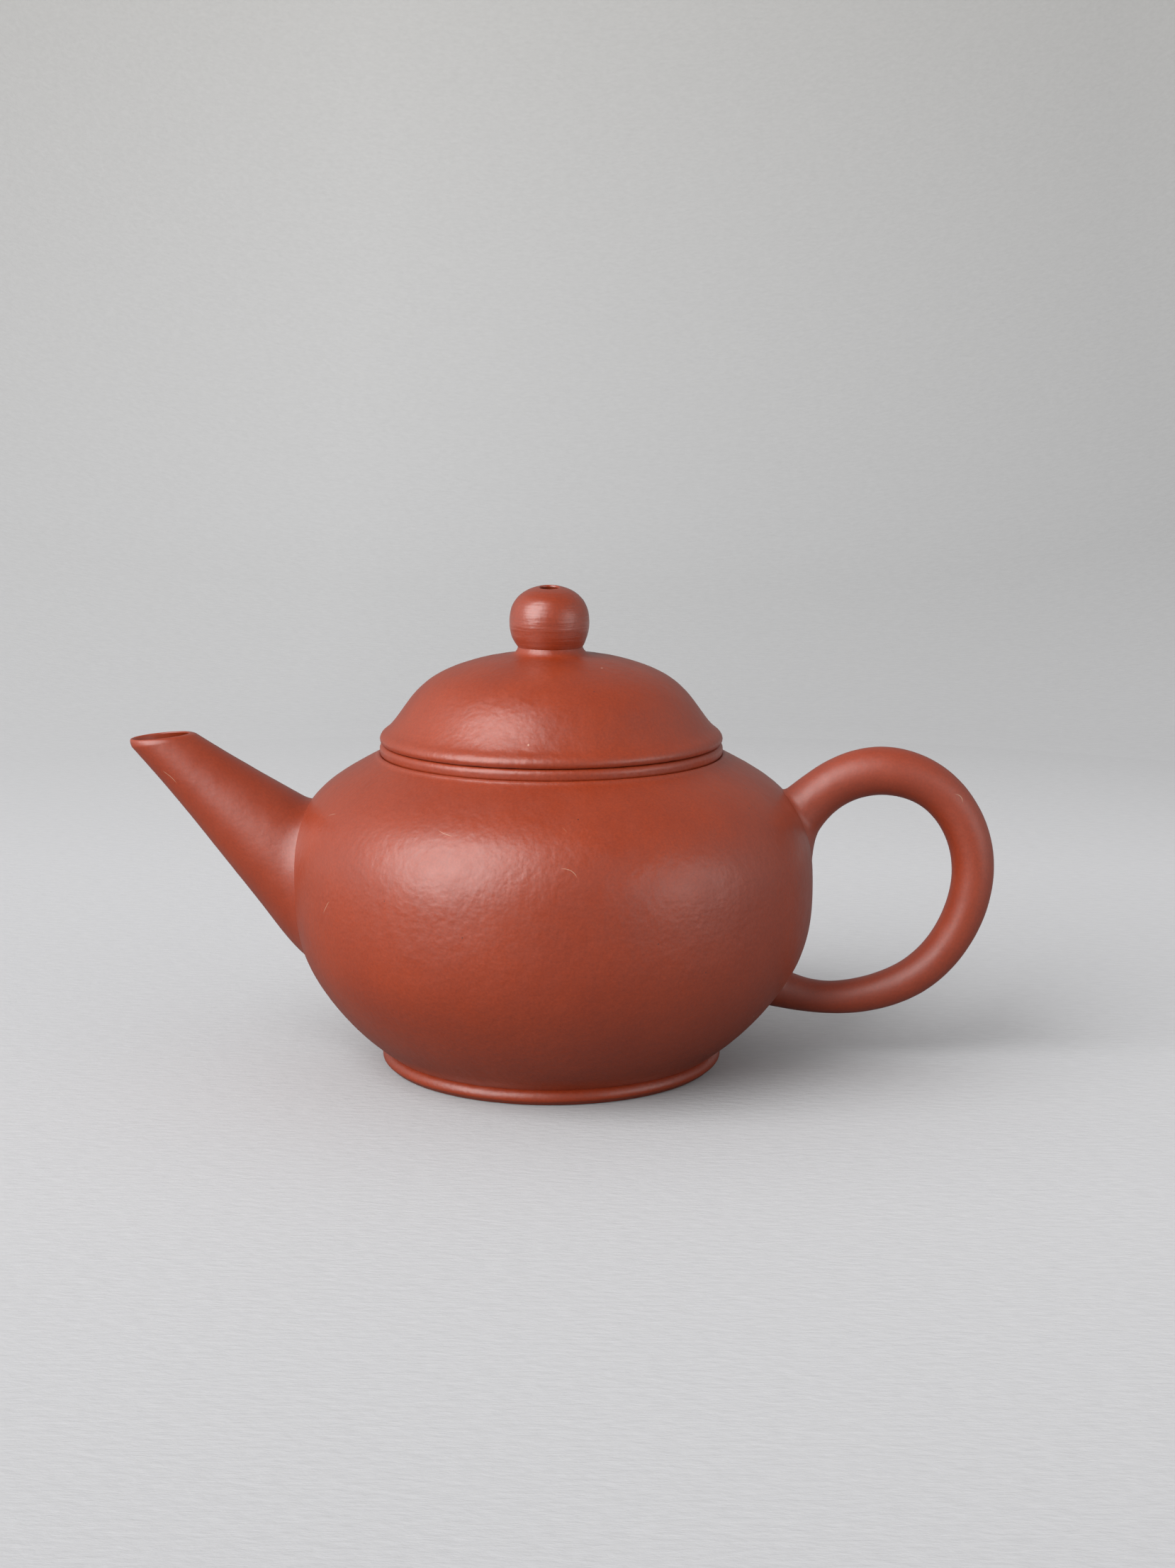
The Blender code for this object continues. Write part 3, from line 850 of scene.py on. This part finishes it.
def handle(rubbed):
    """The ear-shaped handle, thicker towards its upper root."""
    pitch = LIMB_STEP
    path = spline(HANDLE_KNOTS, pitch)
    angles = np.linspace(0.0, 2 * math.pi, LIMB_SEGMENTS, endpoint=False)
    surface = handle_surface(path, angles)
    middle = len(path) // 2
    upper = surface[:middle][::-1]
    lower = surface[middle:]
    web = np.clip(-np.cos(angles), 0.0, 1.0) ** HANDLE_WEB_POWER
    reaches = zip(HANDLE_REACH, HANDLE_WEB_REACH)
    reach_up, reach_out = (low + (high - low) * web for low, high in reaches)
    upper_leave, upper_fillet = root(upper, HANDLE_UPPER_ROOT, pitch, reach_up, reach_out)
    plain_up, plain_out = (np.full(LIMB_SEGMENTS, reach) for reach in HANDLE_REACH)
    lower_leave, lower_fillet = root(lower, HANDLE_LOWER_ROOT, pitch, plain_up, plain_out)
    upper_limb = at_rows(upper, spread(upper_leave, np.zeros(LIMB_SEGMENTS), count=120))
    lower_limb = at_rows(lower, spread(np.zeros(LIMB_SEGMENTS), lower_leave, count=130))
    ends = [fillet[-1].mean(axis=0) + 0 * fillet[-1] for fillet in (upper_fillet, lower_fillet)]
    top = [ends[0][None], upper_fillet[::-1], upper_limb[1:]]
    bottom = [lower_limb, lower_fillet[1:], ends[1][None]]
    rings = np.concatenate(top + bottom)
    obj = skin("handle", rings, loop=False)
    burnish(obj, depth=0.015)
    return piece(obj, "pot", ["handle"], rubbed)


def tilted(tilts, turns):
    """Directions tilted from +X by these angles, and turned about it, in radians."""
    return np.stack([np.cos(tilts), np.sin(tilts) * np.cos(turns), np.sin(tilts) * np.sin(turns)], axis=-1)


def strainer_drills(centre):
    """The bars that pierce the strainer's holes, as one object."""
    drills = []
    for tilt, count in STRAINER_RINGS:
        for i in range(count):
            aim = tilted(math.radians(tilt), 2 * math.pi * (i + 0.5) / count)
            near = centre + aim * (STRAINER_RADIUS - 2 * STRAINER_THICKNESS)
            far = centre + aim * (STRAINER_RADIUS + 2 * STRAINER_THICKNESS)
            drills.append(rod(near, far, STRAINER_HOLE_RADIUS, segments=20))
    return together(drills)


def strainer(raw):
    """The pierced ball filter behind the spout's hole."""
    tilts = np.radians(np.linspace(0.0, STRAINER_EDGE_TILT, 240))[:, None]
    turns = np.linspace(0.0, 2 * math.pi, LIMB_SEGMENTS, endpoint=False) + STRAINER_TURN
    tilts, turns = np.broadcast_arrays(tilts, turns)
    centre = np.array([STRAINER_CENTRE[0], 0.0, STRAINER_CENTRE[1]])
    shells = []
    for radius in (STRAINER_RADIUS, STRAINER_RADIUS - STRAINER_THICKNESS):
        shell = centre + radius * tilted(tilts, turns)
        height, _ = belly_depth(shell)
        end = np.argmax(height > STRAINER_SINK - WALL, axis=0).astype(float)
        shells.append(at_rows(shell, spread(np.zeros(LIMB_SEGMENTS), end, count=32)))
    obj = skin("spout_strainer", np.concatenate([shells[0], shells[1][::-1]]), loop=False)
    carve(obj, strainer_drills(centre))
    return piece(obj, "pot", ["spout_strainer"], raw)


# ---------------------------------------------------------------- the lid


def lid_outline():
    """The lid's upper surface from the underside of its rolled edge to the neck under the knob."""
    upper = spline(ROLL_KNOTS + DOME_KNOTS, LID_STEP)
    neck = bezier([upper[-1], *NECK_BEND, (NECK_RADIUS, NECK_TOP)], count=12)
    return upper + [0.0, SEAT], neck + [0.0, SEAT]


def lid_dome(burnished):
    """The domed lid with its rolled edge, hollow underneath, and the neck that carries the knob."""
    upper, neck = lid_outline()
    inner = offset(spline(DOME_KNOTS, LID_INNER_STEP) + [0.0, SEAT], LID_THICKNESS)
    inside = FLANGE_RADIUS - FLANGE_THICKNESS - FLANGE_GAP
    outside = FLANGE_RADIUS + FLANGE_GAP
    inner = inner[inner[:, 0] < inside - FLANGE_GAP]
    recess = SEAT + FLANGE_TOP + FLANGE_GAP
    step = [(inside, recess), (outside, recess), (outside, SEAT + LID_REST)]
    bore = [(VENT_RADIUS, SEAT + NECK_TOP), (VENT_RADIUS, inner[-1][1])]
    outline = joined(upper, neck, bore, inner[::-1], step)
    obj = turned("lid_dome", outline, RIM_SEGMENTS)
    burnish(obj)
    return piece(obj, "lid", ["lid_dome", "lid_rim"], burnished)


def lid_flange(raw):
    """The ring under the lid that holds it in the mouth."""
    outer, inner = FLANGE_RADIUS, FLANGE_RADIUS - FLANGE_THICKNESS
    bottom, top = SEAT + FLANGE_BOTTOM, SEAT + FLANGE_TOP
    lead_in = arc((outer - FLANGE_LEAD_IN, bottom + FLANGE_LEAD_IN), FLANGE_LEAD_IN, 0, -90, count=8)
    heel = arc((inner + FLANGE_HEEL, bottom + FLANGE_HEEL), FLANGE_HEEL, -90, -180, count=8)
    down = straight((outer, top), lead_in[0])
    up = straight(heel[-1], (inner, top))
    outline = joined([(inner, top)], down, lead_in, heel, up)
    obj = turned("lid_flange", outline, RIM_SEGMENTS)
    burnish(obj, depth=0.006)
    return piece(obj, "lid_locator", ["lid_flange"], raw)


def tilt_vent(obj, middle):
    """Tips the top of the knob forward, as the vent was pierced, and marks the vent's bore for painted shade.
    """
    axis = AXIS_X + LEAN_KNOTS[-1][1]
    bore = []
    for vertex in obj.data.vertices:
        x, y, z = vertex.co / MM
        up = np.clip((z - middle - VENT_SLOPE_START) / (KNOB_RISE - VENT_SLOPE_START), 0.0, 1.0)
        vertex.co.z += VENT_SLOPE * y * up**VENT_SLOPE_POWER * MM
        # Points inside the vent's bore get painted shade.
        inside = math.hypot(x - axis, y) < VENT_RADIUS + BORE_MARGIN
        bore.append(float(inside and z < middle + KNOB_RISE - BORE_TOP_DROP))
    obj.data.attributes.new(SHADED, "FLOAT", "POINT").data.foreach_set("value", bore)


def knob(wiped):
    """The pearl-shaped knob, with the steam vent through it."""
    middle = SEAT + KNOB_HEIGHT
    low_height = KNOB_HEIGHT - NECK_TOP
    drops = low_height - straight((0.0, 0.0), (0.0, low_height), FINE_STEP)[:, 1]
    low_radii = KNOB_RADIUS * (1 - (drops / KNOB_DROP) ** KNOB_DROP_POWER) ** (1 / KNOB_DROP_POWER)
    low = np.stack([low_radii, middle - drops], axis=1)
    turns = np.sin(np.linspace(0.0, math.pi / 2, 48))
    high_radii = KNOB_RADIUS - (KNOB_RADIUS - VENT_RADIUS - VENT_EDGE) * turns**KNOB_RISE_POWER
    rises = KNOB_RISE * (1 - (high_radii / KNOB_RADIUS) ** KNOB_RISE_POWER) ** (1 / KNOB_RISE_POWER)
    high = np.stack([high_radii, middle + rises], axis=1)
    rim = high[-1][1]
    edge = bezier([high[-1], (VENT_RADIUS, rim), (VENT_RADIUS, rim - VENT_EDGE)], count=6)
    bottom = SEAT + NECK_TOP - KNOB_PLUG_DEPTH
    bore = straight(edge[-1], (VENT_RADIUS, bottom))
    plug = [(NECK_RADIUS - KNOB_PLUG_INSET, bottom)]
    obj = turned("knob", joined(plug, low, high, edge, bore), KNOB_SEGMENTS)
    tilt_vent(obj, middle)
    burnish(obj, depth=0.01, marks=0.014)
    return piece(obj, "lid", ["knob"], wiped)


# ---------------------------------------------------------------- stage, light and camera


# The paper's tones, the places between which they change, and the brightness at the one and the other. The
# wall's darker tones and the brightness across the wall and in front of the pot are painted shade, where the
# light falls off. The fibres' brightness is between them and on them.
FLOOR_TONE = (0.68, 0.68, 0.693)
WALL_TONE = (0.55, 0.55, 0.552)
WALL_TONE_ABOVE = (0.5, 0.495, 0.485)
FLOOR_TO_WALL = (130.0, 420.0)
WALL_RISE = (50.0, 240.0)
WALL_ACROSS = (-80.0, 190.0)
ACROSS_PAINTED_SHADE = (1.04, 0.74)
FLOOR_IN_FRONT = (-150.0, -60.0)
FRONT_PAINTED_SHADE = (0.925, 1.0)
FIBRE_BRIGHTNESS = (0.965, 1.035)

# The paper throws this share of its light back on the pot, and shows in the sheen with this one.
BOUNCE_SHARE = 0.4
MIRRORED_SHARE = 0.25

FLOOR_RADIUS = 300.0
SWEEP_RADIUS = 300.0
WALL_HEIGHT = 900.0


def paper_colour(tree, place_on, away):
    """The floor's tone going over into the wall's, which is warmer, and darker with painted shade, more so
    higher up.
    """
    rise = tree.ranged(place_on["Z"], *WALL_RISE)
    return tree.mix(away, FLOOR_TONE, tree.mix(rise, WALL_TONE, WALL_TONE_ABOVE))


def paper_shade(tree, place_on, away, fibres):
    """How bright the paper is, with its faint fibres.

    Painted shade makes the wall darker to the right, and the floor in front of the pot, where the light falls
    off.
    """
    tone = tree.ranged(fibres, *NOISE_RANGE, *FIBRE_BRIGHTNESS)
    across = tree.ranged(place_on["X"], *WALL_ACROSS, *ACROSS_PAINTED_SHADE)
    tone = tree.math("MULTIPLY", tone, tree.mix_value(away, 1.0, across))
    in_front = tree.ranged(place_on["Y"], *FLOOR_IN_FRONT, *FRONT_PAINTED_SHADE)
    return tree.math("MULTIPLY", tone, in_front)


def paper(name="pale_paper"):
    """Pale, faintly fibrous backdrop paper, which is darker to all rays but the camera's."""
    material = bpy.data.materials.new(name)
    material.use_nodes = True
    tree = Nodes(material.node_tree)
    inputs = material.node_tree.nodes["Principled BSDF"].inputs
    position = tree.position()
    fibres = tree.noise(tree.stretched(position, (0.5, 1.6, 1.0)), scale=0.8, detail=4.0, roughness=0.65)
    place_on = tree.add("ShaderNodeSeparateXYZ", {0: position}).outputs
    away = tree.ranged(place_on["Y"], *FLOOR_TO_WALL)
    tone = paper_shade(tree, place_on, away, fibres)
    thrown = tree.ranged(tree.light_path("Is Glossy Ray"), 0.0, 1.0, BOUNCE_SHARE, MIRRORED_SHARE)
    tone = tree.math("MULTIPLY", tone, tree.mix_value(tree.light_path("Is Camera Ray"), thrown, 1.0))
    colour = paper_colour(tree, place_on, away)
    tree.set(inputs["Base Color"], tree.mix(1.0, colour, tree.grey(tone), "MULTIPLY"))
    tree.set(inputs["Roughness"], 0.9)
    tree.set(inputs["Specular IOR Level"], 0.2)
    tree.set(inputs["Normal"], tree.bump(fibres, 0.12))
    return material


def stage():
    """A pale floor that sweeps up into a wall all round. Only the camera sees the sweep."""
    material = paper()
    bend = arc((FLOOR_RADIUS, SWEEP_RADIUS), SWEEP_RADIUS, -90, 0, count=24)
    outlines = {
        "floor": [(0.0, 0.0), (60.0, 0.0), (150.0, 0.0), (FLOOR_RADIUS, 0.0)],
        "sweep": joined(bend, [(FLOOR_RADIUS + SWEEP_RADIUS, WALL_HEIGHT)]),
    }
    for name, outline in outlines.items():
        obj = turned(name, outline, segments=128, loop=False)
        obj.data.materials.append(material)
        obj.data.shade_smooth()
        if name == "sweep":
            obj.visible_diffuse = False
            obj.visible_glossy = False
            obj.visible_shadow = False


# The lights aim at the middle of the pot. Their lengths are metres.
LIGHT_AIM = Vector((0.0, 0.0, 0.03))


def towards(azimuth, elevation):
    """A direction from the pot. Azimuth 0 is the camera's side, and 90 is the handle's."""
    turn, rise = math.radians(azimuth), math.radians(elevation)
    return Vector((math.sin(turn) * math.cos(rise), -math.cos(turn) * math.cos(rise), math.sin(rise)))


def softbox(name, azimuth, elevation, distance, width, height, power):
    """A soft oval light aimed at the middle of the pot."""
    light = bpy.data.lights.new(name, "AREA")
    light.shape = "ELLIPSE"
    light.size = width
    light.size_y = height
    light.energy = power
    obj = bpy.data.objects.new(name, light)
    direction = towards(azimuth, elevation)
    obj.location = LIGHT_AIM + direction * distance
    obj.rotation_euler = direction.to_track_quat("Z", "Y").to_euler()
    bpy.context.scene.collection.objects.link(obj)


# The pale room, as soft glows: (azimuth, elevation, tightness, strength, share that shows in the sheen).
GLOWS = {
    "ceiling": (0.0, 90.0, 1.0, 0.3, 0.2),
    "ground": (0.0, -90.0, 0.5, 1.05, 0.5),
    "left": (-90.0, 10.0, 3.0, 0.78, 0.8),
    "right": (90.0, 10.0, 3.0, 0.44, 0.7),
    "front": (0.0, 10.0, 3.0, 0.24, 0.5),
    "back": (180.0, 10.0, 3.0, 0.65, 0.34),
}


def room():
    """Soft light from a pale room, brighter on some sides than on others."""
    world = bpy.data.worlds.new("room")
    world.use_nodes = True
    bpy.context.scene.world = world
    tree = Nodes(world.node_tree)
    background = world.node_tree.nodes["Background"]
    look = tree.add("ShaderNodeTexCoord").outputs["Generated"]
    mirrored = tree.light_path("Is Glossy Ray")
    total = 0.0
    for azimuth, elevation, tightness, strength, shown in GLOWS.values():
        inputs = {0: look, 1: towards(azimuth, elevation)}
        facing = tree.add("ShaderNodeVectorMath", inputs, operation="DOT_PRODUCT").outputs["Value"]
        lobe = tree.math("POWER", tree.math("MAXIMUM", facing, 0.0), tightness)
        lobe = tree.math("MULTIPLY", lobe, tree.ranged(mirrored, 0.0, 1.0, 1.0, shown))
        total = tree.math("ADD", tree.math("MULTIPLY", lobe, strength), total)
    world.node_tree.links.new(total, background.inputs["Color"])


# The lens and the camera's place relative to the pot's axis.
CAMERA_PLACE = (5.13, -329.7, 99.15)
CAMERA_PITCH = 10.165
CAMERA_ROLL = 0.15
CAMERA_LENS = 54.065


def camera():
    """The scene camera, looking slightly down on the pot."""
    data = bpy.data.cameras.new("camera")
    data.lens = CAMERA_LENS
    data.clip_start = 0.01
    obj = bpy.data.objects.new("camera", data)
    bpy.context.scene.collection.objects.link(obj)
    spot = Vector(place(np.array(CAMERA_PLACE)))
    tilt = Matrix.Rotation(math.radians(90.0 - CAMERA_PITCH), 4, "X")
    roll = Matrix.Rotation(math.radians(CAMERA_ROLL), 4, "Z")
    obj.matrix_world = Matrix.Translation(spot) @ tilt @ roll
    bpy.context.scene.camera = obj


def main():
    """Builds the clays, the ten pieces, the stage, the light and the camera."""
    burnished = clay("burnished_clay", OUTER_RED, OUTER_DEEP)
    rubbed = clay(
        "rubbed_clay", OUTER_RED, OUTER_DEEP, roughness=0.5, coat=0.8, coat_roughness=0.52, facets=0.025
    )
    smooth = clay("smooth_clay", OUTER_RED, OUTER_DEEP, facets=0.022)
    wiped = clay("wiped_clay", OUTER_RED, OUTER_DEEP, roughness=0.35, coat=0.95, facets=0.03, wiped=0.1)
    raw = clay("raw_clay", INNER_RED, INNER_DEEP, roughness=0.62, coat=0.0, grain=0.02)
    belly(burnished)
    mouth_ring(burnished)
    foot_ring(burnished)
    base_disc(raw)
    spout(smooth)
    strainer(raw)
    handle(rubbed)
    lid_dome(burnished)
    lid_flange(raw)
    knob(wiped)

    stage()
    room()
    softbox("window", azimuth=-48.5, elevation=33.0, distance=2.4, width=2.45, height=3.25, power=68.0)
    softbox("second_window", azimuth=58.0, elevation=10.0, distance=2.4, width=2.1, height=1.6, power=8.2)
    camera()
    bpy.context.scene.view_settings.view_transform = "Standard"


main()

bpy.context.view_layer.update()
